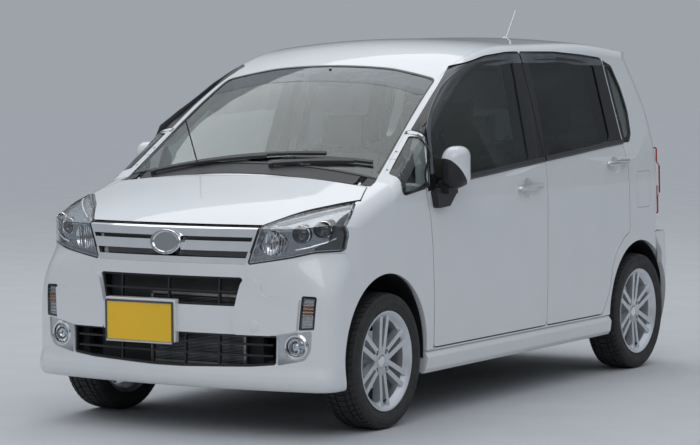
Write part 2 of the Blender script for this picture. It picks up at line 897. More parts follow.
SIGNAL = millimetres([(598, 446, 4), (609, 579, 6), (666, 577, 8), (659, 450, 4)])
GRILLE = millimetres([(-361, 700, 6), (-416, 851, 8), (416, 851, 8), (361, 700, 6)])
FOG_LAMP = (0.580, 0.377)
PLATE = (-0.126, 0.453)
PLATE_FACE = -1.6975
SIDES = (("left", 1), ("right", -1))


# Doors and windows
BELT = ((-0.85, 0.962), (-0.646, 0.972), (-0.424, 0.998), (0.158, 1.036), (0.30, 1.047))
REAR_BELT = ((0.29, 1.047), (0.972, 1.090), (1.22, 1.104))


def above(name, line, lift):
    """Skin of a door's frame above a belt line."""
    parts = []
    for (y0, z0), (y1, z1) in zip(line, line[1:]):
        cuts = [
            ((0, y0, 0), (0, 1, 0)),
            ((0, y1, 0), (0, -1, 0)),
            ((0, y0, z0), (0, -(z1 - z0), y1 - y0)),
        ]
        parts.append(node_skin(name, cuts, None, lift))
    return joined(parts)


FRONT_VISOR = (
    (-0.786, 1.035, 0.0),
    (-0.738, 1.228, 0.02),
    (-0.648, 1.292, 0.3),
    (-0.445, 1.410, 0.4),
    (-0.265, 1.479, 0.5),
    (-0.039, 1.520, 0.6),
    (0.177, 1.537, 0.3),
    (0.294, 1.538, 0.01),
    (0.294, 1.497, 0.01),
    (0.177, 1.496, 0.3),
    (-0.039, 1.480, 0.6),
    (-0.250, 1.440, 0.5),
    (-0.425, 1.371, 0.4),
    (-0.622, 1.256, 0.1),
    (-0.690, 1.205, 0.05),
    (-0.748, 1.035, 0.0),
)
REAR_VISOR = (
    (0.306, 1.538, 0.01),
    (0.654, 1.538, 0.6),
    (0.952, 1.523, 0.5),
    (1.142, 1.507, 0.01),
    (1.130, 1.482, 0.01),
    (0.952, 1.484, 0.5),
    (0.654, 1.496, 0.6),
    (0.306, 1.497, 0.01),
)


class KEICAR_OT_windows(bpy.types.Operator):
    """Black door frames, belt strips, visors and glass seals"""

    bl_idname = "keicar.windows"
    bl_label = "Door frames and seals"

    def execute(self, context):
        settings = context.scene.kei_car_trim
        lift = settings.trim_lift
        for end, line in (("front", BELT), ("rear", REAR_BELT)):
            sash = above("%s_door_left" % end, line, lift)
            hosts = ("%s_door_left" % end, "%s_door_right" % end)
            both_pieces("%s_door_sash" % end, sash, "sash_black", hosts)
        for end, outline in (("front", FRONT_VISOR), ("rear", REAR_VISOR)):
            visor = skin_patch(
                "side",
                rounded(outline),
                [],
                ["%s_door_left" % end],
                settings.visor_stand,
                0.003,
                0.03,
                True,
            )
            hosts = ("%s_door_left" % end, "%s_door_right" % end)
            both_pieces("%s_door_visor" % end, visor, "smoked_visor", hosts)
        for end, line, y0, y1 in (
            ("front", BELT, -0.742, 0.292),
            ("rear", REAR_BELT, 0.307, 1.178),
        ):
            path = []
            for k in range(25):
                y = y0 + (y1 - y0) * k / 24
                z = float(np.interp(y, *zip(*line))) + settings.belt_height / 2
                door = on_surface(["%s_door_left" % end], "side", y, z - 0.012)
                path.append((door.x + 0.001, y, z))
            strip = swept(path, oval(0.010, settings.belt_height, 10))
            hosts = ("%s_door_left" % end, "%s_door_right" % end)
            both_pieces("%s_belt_strip" % end, strip, "belt_strip", hosts)
        for name, outline, node, finish in (
            ("quarter_seal", QUARTER_WINDOW, "fixed_glass", "sash_black"),
            ("rear_quarter_seal", REAR_QUARTER_WINDOW, "fixed_glass", "sash_black"),
        ):
            ring = skin_patch(
                "side",
                rounded(offset(outline, 0.004)),
                [rounded(offset(outline, -settings.seal_width))],
                [node],
                0.0058,
                0.0055,
                0.02,
                True,
            )
            both_pieces(name, ring, finish)
        for name, outline, window in (
            ("c_pillar_black", C_PILLAR, REAR_QUARTER_WINDOW),
            ("quarter_pillar_black", SAIL, QUARTER_WINDOW),
        ):
            film = skin_patch(
                "side",
                rounded(outline),
                [rounded(offset(window, -0.0015))],
                ["body_shell", "fenders"],
                lift,
                0.0015,
                0.012,
            )
            both_pieces(name, film, "sash_black")
        screen = skin_patch(
            "plan",
            rounded(offset(WINDSCREEN, -0.001)),
            [rounded(offset(WINDSCREEN, -settings.seal_width * 0.8))],
            ["fixed_glass"],
            0.003,
            0.0045,
            0.02,
        )
        piece("windscreen_seal", screen, "sash_black")
        band = skin_patch("plan", rounded(SHADE_BAND), [], ["fixed_glass"], 0.0006, 0.0004, 0.03)
        piece("windscreen_shade_band", band, "shade_band")
        rear = skin_patch(
            "rear",
            rounded(offset(TAILGATE_WINDOW, -0.001)),
            [rounded(offset(TAILGATE_WINDOW, -settings.seal_width))],
            ["tailgate_glass"],
            0.003,
            0.0045,
            0.03,
        )
        piece("tailgate_seal", rear, "sash_black", "tailgate")
        return {"FINISHED"}


C_PILLAR = (
    (1.1805, 1.108, 0.0),
    (1.1575, 1.507, 0.0),
    (1.241, 1.481, 0.03),
    (1.289, 1.367, 0.15),
    (1.305, 1.256, 0.15),
    (1.280, 1.147, 0.04),
    (1.243, 1.110, 0.02),
)
SAIL = (
    (-1.042, 0.950, 0.03),
    (-1.0105, 1.044, 0.03),
    (-0.7575, 1.2135, 0.01),
    (-0.7475, 1.217, 0.0),
    (-0.8025, 0.978, 0.0),
)
SHADE_BAND = (
    (-0.536, -0.404, 0.04),
    (-0.300, -0.369, 0.7),
    (0.300, -0.369, 0.7),
    (0.536, -0.404, 0.04),
    (0.553, -0.520, 0.02),
    (0.300, -0.490, 0.7),
    (-0.300, -0.490, 0.7),
    (-0.553, -0.520, 0.02),
)


# Door grips, locks and fuel lid
GRIPS = (("front", 0.110, 0.940), ("rear", 1.046, 1.019))


class KEICAR_OT_grips(bpy.types.Operator):
    """Silver door grips with their lock"""

    bl_idname = "keicar.grips"
    bl_label = "Door grips"

    def execute(self, context):
        for end, y, z in GRIPS:
            door = ["%s_door_left" % end]
            ahead, behind = (on_surface(door, "side", y + d, z) for d in (-0.125, 0.125))
            above_it, below_it = (on_surface(door, "side", y, z + d) for d in (0.075, -0.075))
            out = (above_it - below_it).cross(ahead - behind).normalized()
            out *= 1 if out.x > 0 else -1
            face = (ahead + behind + above_it + below_it) / 4 + out * 0.0055
            cuts = [
                ((0, y - 0.105, 0), (0, 1, 0)),
                ((0, y + 0.105, 0), (0, -1, 0)),
                ((0, 0, z - 0.04), (0, 0, 1)),
                ((0, 0, z + 0.04), (0, 0, -1)),
                (face, out),
            ]
            grip = node_skin("%s_door_left" % end, cuts, None, 0.0007)
            hosts = ("%s_door_left" % end, "%s_door_right" % end)
            both_pieces("%s_door_grip" % end, grip, "satin_silver", hosts)
            lock = lathe(
                [(0.0, 0.0035), (0.0085, 0.003), (0.0095, 0.0015), (0.0095, -0.004)],
                face + Vector((0.004, 0.092, 0.003)),
                out,
                24,
            )
            both_pieces("%s_door_lock" % end, lock, "bright_trim", hosts)
        return {"FINISHED"}


# Tyres and wheels
# x across the tyre and r from its centre, from the inner bead round to the outer
TYRE_SECTION = (
    (-0.0575, 0.1985),
    (-0.0655, 0.2080),
    (-0.0700, 0.2085),
    (-0.0772, 0.2200),
    (-0.0788, 0.2262),
    (-0.0815, 0.2380),
    (-0.0828, 0.2400),
    (-0.0828, 0.2425),
    (-0.0818, 0.2440),
    (-0.0822, 0.2540),
    (-0.0796, 0.2650),
    (-0.0745, 0.2722),
    (-0.0700, 0.2745),
    (-0.0400, 0.2750),
    (0.0000, 0.2752),
    (0.0400, 0.2750),
    (0.0700, 0.2745),
    (0.0745, 0.2722),
    (0.0796, 0.2650),
    (0.0822, 0.2540),
    (0.0818, 0.2440),
    (0.0828, 0.2425),
    (0.0828, 0.2400),
    (0.0815, 0.2380),
    (0.0788, 0.2262),
    (0.0772, 0.2200),
    (0.0690, 0.2085),
    (0.0645, 0.2080),
    (0.0572, 0.1985),
)
# x of both edges, radius at both edges, slant of the block and its part of the pitch
TREAD_ROWS = (
    (-0.0735, -0.0535, 0.2760, 0.2806, 0.004, 0.80, 0.0),
    (-0.0475, -0.0250, 0.2808, 0.2810, 0.006, 0.86, 0.3),
    (-0.0190, 0.0190, 0.2810, 0.2810, 0.000, 0.90, 0.6),
    (0.0250, 0.0475, 0.2810, 0.2808, -0.006, 0.86, 0.3),
    (0.0535, 0.0735, 0.2806, 0.2760, -0.004, 0.80, 0.0),
)


def tyre_pitch(count):
    """One pitch of the tyre: a wedge of its carcass with one row of tread blocks."""
    mesh = bmesh.new()
    pitch = 2 * math.pi / count
    columns = []
    for k in range(3):
        angle = pitch * (k / 2 - 0.5)
        columns.append(
            [
                mesh.verts.new((x, -math.sin(angle) * r, math.cos(angle) * r))
                for x, r in TYRE_SECTION
            ]
        )
    for first, second in zip(columns, columns[1:]):
        for k in range(len(TYRE_SECTION) - 1):
            mesh.faces.new((first[k], first[k + 1], second[k + 1], second[k]))
        mesh.faces.new((first[-1], first[0], second[0], second[-1]))
    for x0, x1, r0, r1, slant, share, shift in TREAD_ROWS:
        rows = []
        for depth, grow in ((0.0075, 0.0), (0.0, 0.0006)):
            corners = []
            for x, r, lean in ((x0 + grow, r0, -slant), (x1 - grow, r1, slant)):
                for side in (-1, 1):
                    reach = pitch * share / 2 - grow / r
                    angle = side * reach + lean / r + shift * pitch
                    height = r - depth
                    corners.append(
                        mesh.verts.new((x, -math.sin(angle) * height, math.cos(angle) * height))
                    )
            rows.append(corners)
        low, high = rows
        order = (0, 1, 3, 2)
        mesh.faces.new([high[i] for i in order])
        for a, b in zip(order, (*order[1:], order[0])):
            mesh.faces.new((low[a], low[b], high[b], high[a]))
    bmesh.ops.recalc_face_normals(mesh, faces=mesh.faces)
    return mesh


def sidewall_ribs():
    """One short radial rib near the tyre's shoulder on each side."""
    mesh = bmesh.new()
    for side in (-1, 1):
        rib = box((-0.0008, -0.0009, 0.2555), (0.0010, 0.0009, 0.2685), 0.0003)
        bmesh.ops.rotate(
            rib, verts=rib.verts, cent=(0, 0, 0.262), matrix=Matrix.Rotation(side * -0.30, 3, "Y")
        )
        bmesh.ops.translate(rib, verts=rib.verts, vec=(side * 0.0803, 0, 0))
        data = bpy.data.meshes.new("rib")
        rib.to_mesh(data)
        rib.free()
        mesh.from_mesh(data)
        bpy.data.meshes.remove(data)
    return mesh


def wheel_nut():
    """Hexagonal nut with a domed end, along x."""
    nut = lathe(
        [(0.0, 0.0205), (0.004, 0.0198), (0.0075, 0.0165), (0.0088, 0.013), (0.0088, 0.0)],
        (0, 0, 0),
        (1, 0, 0),
        6,
    )
    return nut


class KEICAR_OT_wheels(bpy.types.Operator):
    """Tyres with tread, wheel nuts, valves and centre caps"""

    bl_idname = "keicar.wheels"
    bl_label = "Tyres and wheel details"

    def execute(self, context):
        settings = context.scene.kei_car_wheels
        tyre = ring_of_copies(
            "tyre_tread", tyre_pitch(settings.pitches), settings.pitches, "tyre"
        )
        bmesh.ops.remove_doubles(tyre, verts=tyre.verts, dist=1e-5)
        ribs = ring_of_copies("sidewall_ribs", sidewall_ribs(), settings.rib_count, "tyre")
        tyre = joined([tyre, ribs])
        details = []
        for quarter in range(4):
            angle = math.radians(45 + 90 * quarter)
            nut = wheel_nut()
            bmesh.ops.translate(
                nut,
                verts=nut.verts,
                vec=(0.023, 0.05 * math.cos(angle), 0.05 * math.sin(angle)),
            )
            details.append(nut)
        valve = swept(
            [(0.046, 0.0, -0.172), (0.058, 0.0, -0.166), (0.068, 0.0, -0.158)],
            oval(0.008, 0.008, 10),
        )
        cap = lathe(
            [(0.0, 0.0505), (0.018, 0.0500), (0.0265, 0.0490), (0.0285, 0.0475), (0.0285, 0.046)],
            (0, 0, 0),
            (1, 0, 0),
            40,
        )
        details.append(cap)
        bright = joined(details)
        for hand, side in SIDES:
            for end in ("front", "rear"):
                low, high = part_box("%s_rim_%s" % (end, hand))
                host = "%s_wheel_%s" % (end, hand)
                middle = Vector(((low[0] + high[0]) / 2, (low[1] + high[1]) / 2, (low[2] + high[2]) / 2))
                centre = Vector((side * 0.65, middle.y, middle.z))
                for name, mesh, finish in (
                    ("tyre", tyre, "tyre"),
                    ("wheel_nuts", bright, "bright_trim"),
                    ("valve", valve, "black_plastic"),
                ):
                    copy = mesh.copy()
                    turn = Matrix.Rotation(0 if side > 0 else math.pi, 4, "Z")
                    bmesh.ops.transform(
                        copy, matrix=Matrix.Translation(centre) @ turn, verts=copy.verts
                    )
                    made = piece("%s_%s_%s" % (end, name, hand), copy, finish, host)
                    if name == "tyre":
                        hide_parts("%s_tyre_%s" % (end, hand))
        return {"FINISHED"}


# Lamps
def behind_lens(x, z, depth):
    """Point a given depth behind the headlamp's surface, seen from the front."""
    return on_surface(["lamp_lenses"], "front", x, z, -depth)


# x, z of each round unit, its radius and its depth behind the lens
LAMP_UNITS = ((0.578, 0.822, 0.034, 0.020), (0.652, 0.842, 0.032, 0.024))
BOWL = (0.462, 0.786, 0.062)
EYEBROW = ((0.470, 0.858), (0.545, 0.882), (0.618, 0.905), (0.668, 0.921))
CHROME_BAR = ((0.560, 0.760), (0.610, 0.771), (0.662, 0.789), (0.690, 0.806))
LAMP_WAY = Vector((0.16, -1.0, 0.02)).normalized()


class KEICAR_OT_headlamps(bpy.types.Operator):
    """Reflectors, round units, strips and seals of the headlamps"""

    bl_idname = "keicar.headlamps"
    bl_label = "Headlamps"

    def execute(self, context):
        lens = ["lamp_lenses"]
        seal = skin_patch(
            "front",
            rounded(offset(LAMP, 0.0005)),
            [rounded(offset(LAMP, -0.0055))],
            lens,
            0.0006,
            0.006,
            0.02,
        )
        both_pieces("headlamp_seal", seal, "gloss_black")
        openings = [
            [
                (x + (radius + 0.003) * math.cos(a), z + (radius + 0.003) * math.sin(a))
                for a in np.linspace(0, 2 * math.pi, 32, endpoint=False)
            ]
            for x, z, radius, _depth in LAMP_UNITS
        ]
        bowl_x, bowl_z, bowl_radius = BOWL
        openings.append(
            [
                (bowl_x + bowl_radius * math.cos(a), bowl_z + bowl_radius * 0.82 * math.sin(a))
                for a in np.linspace(0, 2 * math.pi, 40, endpoint=False)
            ]
        )
        bezel = skin_patch(
            "front",
            rounded(offset(LAMP, -0.006)),
            openings,
            lens,
            -0.030,
            0.003,
            0.015,
        )
        both_pieces("headlamp_bezel", bezel, "smoked_chrome")
        outer = skin_patch("front", rounded(LAMP_END), [], lens, -0.012, 0.003, 0.015)
        both_pieces("headlamp_outer_trim", outer, "gloss_black")
        for index, (x, z, radius, depth) in enumerate(LAMP_UNITS):
            start = behind_lens(x, z, depth + 0.010)
            ring = lathe(
                [
                    (radius * 1.04, -0.004),
                    (radius * 1.06, 0.002),
                    (radius * 0.98, 0.006),
                    (radius * 0.84, -0.004),
                    (radius * 0.80, -0.020),
                ],
                start,
                LAMP_WAY,
                48,
            )
            both_pieces("headlamp_ring_%d" % index, ring, "bright_trim")
            eye = lathe(
                [
                    (0.0, 0.004),
                    (radius * 0.35, 0.0025),
                    (radius * 0.6, -0.003),
                    (radius * 0.80, -0.011),
                    (radius * 0.82, -0.018),
                    (0.0, -0.018),
                ],
                start,
                LAMP_WAY,
                40,
            )
            both_pieces("headlamp_unit_%d" % index, eye, "deep_lens")
        start = behind_lens(bowl_x, bowl_z, 0.036)
        profile = [(bowl_radius, 0.0)]
        for k in range(1, 9):
            share = 1 - k / 9
            profile.append((bowl_radius * share, -0.035 * (1 - share**2)))
        bowl = lathe(profile + [(0.0, -0.035)], start, (0.05, -1, 0), 36)
        for face in bowl.faces:
            face.normal_flip()
        both_pieces("headlamp_reflector", bowl, "bright_trim")
        fluting = [
            swept(
                [
                    behind_lens(bowl_x - 0.045 + 0.012 * k, bowl_z - 0.055, 0.034),
                    behind_lens(bowl_x - 0.035 + 0.012 * k, bowl_z + 0.045, 0.034),
                ],
                oval(0.007, 0.004, 8),
            )
            for k in range(8)
        ]
        both_pieces("headlamp_fluting", joined(fluting), "lamp_silver")
        bulb = lathe(
            [(0.0, 0.018), (0.006, 0.016), (0.008, 0.008), (0.008, -0.012), (0.0, -0.012)],
            start + Vector((0, 0.018, 0)),
            (0, -1, 0),
            20,
        )
        both_pieces("headlamp_bulb", bulb, "amber_glass")
        for name, line, width, height, depth, finish in (
            ("headlamp_strip", EYEBROW, 0.010, 0.016, 0.014, "white_strip"),
            ("headlamp_chrome_bar", CHROME_BAR, 0.008, 0.007, 0.018, "bright_trim"),
        ):
            path = []
            for k in range(17):
                share = k / 16
                x = np.interp(share, np.linspace(0, 1, len(line)), [p[0] for p in line])
                z = np.interp(share, np.linspace(0, 1, len(line)), [p[1] for p in line])
                path.append(behind_lens(float(x), float(z), depth))
            both_pieces(name, swept(path, oval(width, height, 12)), finish)
        ribs = [
            swept(
                [
                    behind_lens(x, z0, 0.011),
                    behind_lens(x + 0.008, z0 + 0.012, 0.011),
                ],
                oval(0.003, 0.002, 6),
            )
            for x, z0 in ((0.47 + 0.018 * k, 0.868 + 0.0056 * k) for k in range(11))
        ]
        both_pieces("headlamp_ribs", joined(ribs), "lamp_silver")
        return {"FINISHED"}


LAMP_END = (
    (0.690, 0.915, 0.0),
    (0.699, 0.893, 0.1),
    (0.716, 0.830, 0.1),
    (0.709, 0.760, 0.01),
    (0.600, 0.752, 0.1),
    (0.668, 0.785, 0.02),
    (0.690, 0.830, 0.05),
    (0.680, 0.890, 0.02),
)


class KEICAR_OT_small_lamps(bpy.types.Operator):
    """Slit lamps and fog lamps of the front bumper"""

    bl_idname = "keicar.small_lamps"
    bl_label = "Signal and fog lamps"

    def execute(self, context):
        frame_ring = skin_patch(
            "front",
            rounded(offset(SIGNAL, 0.002)),
            [rounded(offset(SIGNAL, -0.006))],
            ["lamp_lenses", "front_bumper"],
            0.0008,
            0.006,
            0.012,
        )
        both_pieces("signal_frame", frame_ring, "gloss_black")
        back = skin_patch(
            "front", rounded(offset(SIGNAL, -0.004)), [], ["lamp_lenses"], -0.009, 0.003, 0.012
        )
        both_pieces("signal_reflector", back, "lamp_silver")
        amber = skin_patch("front", rounded(SIGNAL_AMBER), [], ["lamp_lenses"], -0.005, 0.003, 0.01)
        both_pieces("signal_amber", amber, "amber_glass")
        bars = []
        for k in range(9):
            z = 0.462 + 0.0135 * k
            x0 = 0.603 + 0.075 * (z - 0.446)
            ends = []
            for x in (x0, x0 + 0.050):
                ends.append(behind_lens(x, z, 0.005))
            bars.append(swept(ends, oval(0.004, 0.005, 8)))
        both_pieces("signal_ribs", joined(bars), "lamp_silver")
        x, z = FOG_LAMP
        front = behind_lens(x, z, 0.0).y
        ring = lathe(
            [
                (0.0385, 0.004),
                (0.041, 0.011),
                (0.047, 0.013),
                (0.053, 0.009),
                (0.055, 0.0),
                (0.055, -0.02),
                (0.0385, -0.02),
            ],
            (x, front + 0.006, z),
            (0.12, -1, 0),
            56,
        )
        both_pieces("fog_ring", ring, "bright_trim")
        glass = lathe(
            [(0.0, 0.008), (0.015, 0.0072), (0.027, 0.005), (0.037, 0.0015), (0.037, 0.0), (0.0, 0.0)],
            (x, front + 0.002, z),
            (0.12, -1, 0),
            48,
        )
        both_pieces("fog_glass", glass, "lens")
        inner = lathe(
            [(0.036, 0.0), (0.030, -0.012), (0.018, -0.020), (0.009, -0.023), (0.009, -0.010), (0.0, -0.006)],
            (x, front + 0.0035, z),
            (0.12, -1, 0),
            40,
        )
        both_pieces("fog_reflector", inner, "bright_trim")
        return {"FINISHED"}


SIGNAL_AMBER = (
    (0.612, 0.506, 0.003),
    (0.616, 0.548, 0.003),
    (0.654, 0.546, 0.003),
    (0.651, 0.504, 0.003),
)


# Grille, intakes and plate; the radiator's core lies between these corners
RADIATOR = (Vector((-0.115, -1.6045, 0.292)), Vector((0.325, -1.6015, 0.560)))
GRILLE_LEAN = math.radians(-8)


class KEICAR_OT_front_end(bpy.types.Operator):
    """Grille backing, radiator, intake slats, plate frame and its bolts"""

    bl_idname = "keicar.front_end"
    bl_label = "Grille, intakes and plate"

    def execute(self, context):
        settings = context.scene.kei_car_front
        backing = skin_patch(
            "front", rounded(offset(GRILLE, -0.003)), [], ["grille"], -0.026, 0.003, 0.04
        )
        piece("grille_backing", backing, "gloss_black")
        edge = skin_patch(
            "front",
            rounded(offset(GRILLE, 0.0015)),
            [rounded(offset(GRILLE, -0.004))],
            ["grille", "front_bumper", "hood"],
            -0.004,
            0.008,
            0.04,
        )
        piece("grille_seal", edge, "black_plastic")
        low, high = RADIATOR
        fin = box(low, (high.x, high.y, low.z + 0.0016))
        count = int((high.z - low.z) / settings.fin_pitch)
        fins = row_of_copies("radiator_fins", fin, count, (0, 0, settings.fin_pitch), "bare_fins")
        piece("radiator_fins", fins, "bare_fins")
        edge = 0.014
        outer_low = low - Vector((edge, 0.006, edge))
        outer_high = high + Vector((edge, 0.006, edge))
        frame_parts = [
            box(outer_low, (outer_high.x, outer_high.y, low.z), 0.003),
            box((outer_low.x, outer_low.y, high.z), outer_high, 0.003),
            box(outer_low, (low.x, outer_high.y, outer_high.z), 0.003),
            box((high.x, outer_low.y, outer_low.z), outer_high, 0.003),
        ]
        piece("radiator_frame", joined(frame_parts), "pipe_steel")
        x, z = PLATE
        half_x, half_z = 0.165, 0.0825
        outer = [
            (x - half_x - 0.004, z - half_z - 0.004, 0.006),
            (x + half_x + 0.004, z - half_z - 0.004, 0.006),
            (x + half_x + 0.004, z + half_z + 0.004, 0.006),
            (x - half_x - 0.004, z + half_z + 0.004, 0.006),
        ]
        corners, faces = flat_cells(rounded(outer), [rounded(offset(outer, -0.0075))], 0.2)
        top = [Vector((c[0], PLATE_FACE - 0.003, c[1])) for c in corners]
        bottom = [Vector((c[0], PLATE_FACE + 0.0045, c[1])) for c in corners]
        rim = closed_sheet(top, bottom, faces)
        piece("plate_frame", rim, "dark_frame")
        lip = box(
            (x - half_x + 0.001, PLATE_FACE - 0.0042, z - half_z - 0.0035),
            (x + half_x - 0.001, PLATE_FACE - 0.0005, z - half_z + 0.0065),
            0.001,
        )
        piece("plate_frame_lip", lip, "satin_silver")
        holder = pad_shape(
            [
                (PLATE_FACE + 0.0035, z - half_z + 0.004, 0.004),
                (PLATE_FACE + 0.0035, z + half_z + 0.013, 0.006),
                (PLATE_FACE + 0.034, z + half_z + 0.016, 0.004),
                (PLATE_FACE + 0.034, z - half_z + 0.004, 0.004),
            ],
            x - half_x - 0.006,
            x + half_x + 0.010,
            0.004,
        )
        piece("plate_bracket_cover", holder, "body_paint")
        emblem_ring = lathe(
            [(0.042, 0.0), (0.046, 0.0035), (0.051, 0.0035), (0.054, 0.0)],
            (0, 0, 0),
            (0, -1, 0),
            64,
        )
        bmesh.ops.scale(emblem_ring, verts=emblem_ring.verts, vec=(1.36, 1.0, 0.93))
        face_y = on_surface(["grille"], "front", 0.0, 0.784).y
        lean = Matrix.Rotation(GRILLE_LEAN, 3, "X")
        bmesh.ops.rotate(emblem_ring, verts=emblem_ring.verts, cent=(0, 0, 0), matrix=lean)
        bmesh.ops.translate(emblem_ring, verts=emblem_ring.verts, vec=(0, face_y, 0.784))
        piece("grille_disc_rim", emblem_ring, "bright_trim")
        cover = lathe(
            [(0.0, 0.002), (0.020, 0.002), (0.0225, 0.0005), (0.0235, -0.004)],
            on_surface(["front_bumper"], "front", 0.408, 0.456),
            (0.05, -1, 0),
            48,
        )
        piece("tow_cover", cover, "body_paint")
        return {"FINISHED"}


# Rear of the car: outline of the garnish; x, z and stand-off along the wiper's arm
TAILGATE_GARNISH = (
    (-0.27, 0.918, 0.008),
    (-0.27, 0.948, 0.008),
    (0.27, 0.948, 0.008),
    (0.27, 0.918, 0.008),
)
REAR_WIPER_ARM = ((-0.02, 1.112, 0.02), (0.08, 1.128, 0.026), (0.20, 1.146, 0.022))


class KEICAR_OT_rear_end(bpy.types.Operator):
    """Tail lamp bands, tailgate handle, rear wiper and high lamp"""

    bl_idname = "keicar.rear_end"
    bl_label = "Tail lamps and tailgate trim"

    def execute(self, context):
        for name, z0, z1, finish in (
            ("tail_lamp_white", 0.760, 0.812, "lens"),
            ("tail_lamp_amber", 0.822, 0.886, "amber_glass"),
        ):
            outline = [(0.640, z0, 0.006), (0.640, z1, 0.006), (0.722, z1, 0.006), (0.722, z0, 0.006)]
            band = skin_patch("rear", rounded(outline), [], ["tail_lamps"], 0.0012, 0.004, 0.015)
            both_pieces(name, band, finish)
        rim = [(0.627, 0.746, 0.015), (0.635, 1.076, 0.015), (0.720, 1.076, 0.01), (0.728, 0.746, 0.01)]
        ring = skin_patch(
            "rear",
            rounded(rim),
            [rounded(offset(rim, -0.007))],
            ["tail_lamps"],
            0.001,
            0.004,
            0.02,
        )
        both_pieces("tail_lamp_rim", ring, "red_lens")
        handle = skin_patch(
            "rear",
            rounded([(0.40, 0.955, 0.01), (0.40, 0.995, 0.01), (0.56, 0.995, 0.01), (0.56, 0.955, 0.01)]),
            [],
            ["tailgate"],
            0.012,
            0.016,
            0.02,
        )
        piece("tailgate_handle", handle, "black_plastic", "tailgate")
        recess = [(-0.24, 0.745, 0.02), (-0.24, 0.905, 0.02), (0.24, 0.905, 0.02), (0.24, 0.745, 0.02)]
        well = skin_patch(
            "rear",
            rounded(offset(recess, 0.006)),
            [rounded(recess)],
            ["tailgate"],
            0.0035,
            0.005,
            0.03,
        )
        piece("tailgate_panel_edge", well, "body_paint", "tailgate")
        garnish = skin_patch(
            "rear",
            rounded(TAILGATE_GARNISH),
            [],
            ["tailgate"],
            0.014,
            0.018,
            0.03,
        )
        piece("tailgate_garnish", garnish, "body_paint", "tailgate")

        def on_glass(x, z, out):
            return on_surface(["tailgate_glass"], "rear", x, z, out)

        arm = [on_glass(x, z, out) for x, z, out in REAR_WIPER_ARM]
        blade = [on_glass(-0.02 + 0.36 * k / 10, 1.125 + 0.05 * k / 10, 0.008) for k in range(11)]
        pivot = lathe(
            [(0.0, 0.026), (0.012, 0.024), (0.016, 0.016), (0.016, -0.004)],
            on_glass(-0.02, 1.112, 0.002),
            (0, 1, 0),
            24,
        )
        wiper = joined([swept(arm, oval(0.014, 0.009, 10)), swept(blade, oval(0.010, 0.014, 8)), pivot])
        piece("rear_wiper", wiper, "black_plastic", "tailgate")
        path = [on_surface(["roof_panel", "tailgate"], "rear", x, 1.548, 0.0005) for x in (-0.13, 0, 0.13)]
        piece("high_lamp", swept(path, oval(0.010, 0.018, 10)), "red_lens")
        return {"FINISHED"}


# Front seats, rear bench and their soft covers
FRONT_CUSHION = (
    (-0.322, 0.480, 0.03),
    (-0.322, 0.546, 0.05),
    (-0.200, 0.552, 0.2),
    (0.120, 0.522, 0.1),
    (0.145, 0.500, 0.02),
    (0.140, 0.440, 0.02),
    (-0.240, 0.440, 0.03),
)
FRONT_BACK = (
    (0.160, 0.500, 0.03),
    (0.178, 0.720, 0.2),
    (0.268, 1.062, 0.05),
    (0.322, 1.082, 0.03),
    (0.296, 0.900, 0.2),
    (0.214, 0.470, 0.03),
)
HEAD_REST = ((0.258, 1.104, 0.02), (0.270, 1.250, 0.03), (0.332, 1.260, 0.03), (0.330, 1.102, 0.02))
REAR_SEAT_SHIFT = (0.905, 0.043)
CUSHION_RISE = 0.022
HEAD_RISE = 0.012


def pad_shape(outline, low, high, edge):
    """Closed pad with a side outline between two x values, its edges rounded."""
    mesh = bmesh.new()
    points = rounded(outline, 0.02)
    ends = []
    for x in (low, high):
        ends.append([mesh.verts.new((x, y, z)) for y, z in points])
    mesh.faces.new(ends[0])
    mesh.faces.new(list(reversed(ends[1])))
    for k in range(len(points)):
        ahead = (k + 1) % len(points)
        mesh.faces.new((ends[0][ahead], ends[0][k], ends[1][k], ends[1][ahead]))
    bmesh.ops.recalc_face_normals(mesh, faces=mesh.faces)
    rims = [e for e in mesh.edges if len({round(v.co.x, 5) for v in e.verts}) == 1]
    bmesh.ops.bevel(mesh, geom=rims, offset=edge, segments=3, affect="EDGES", profile=0.5)
    return mesh


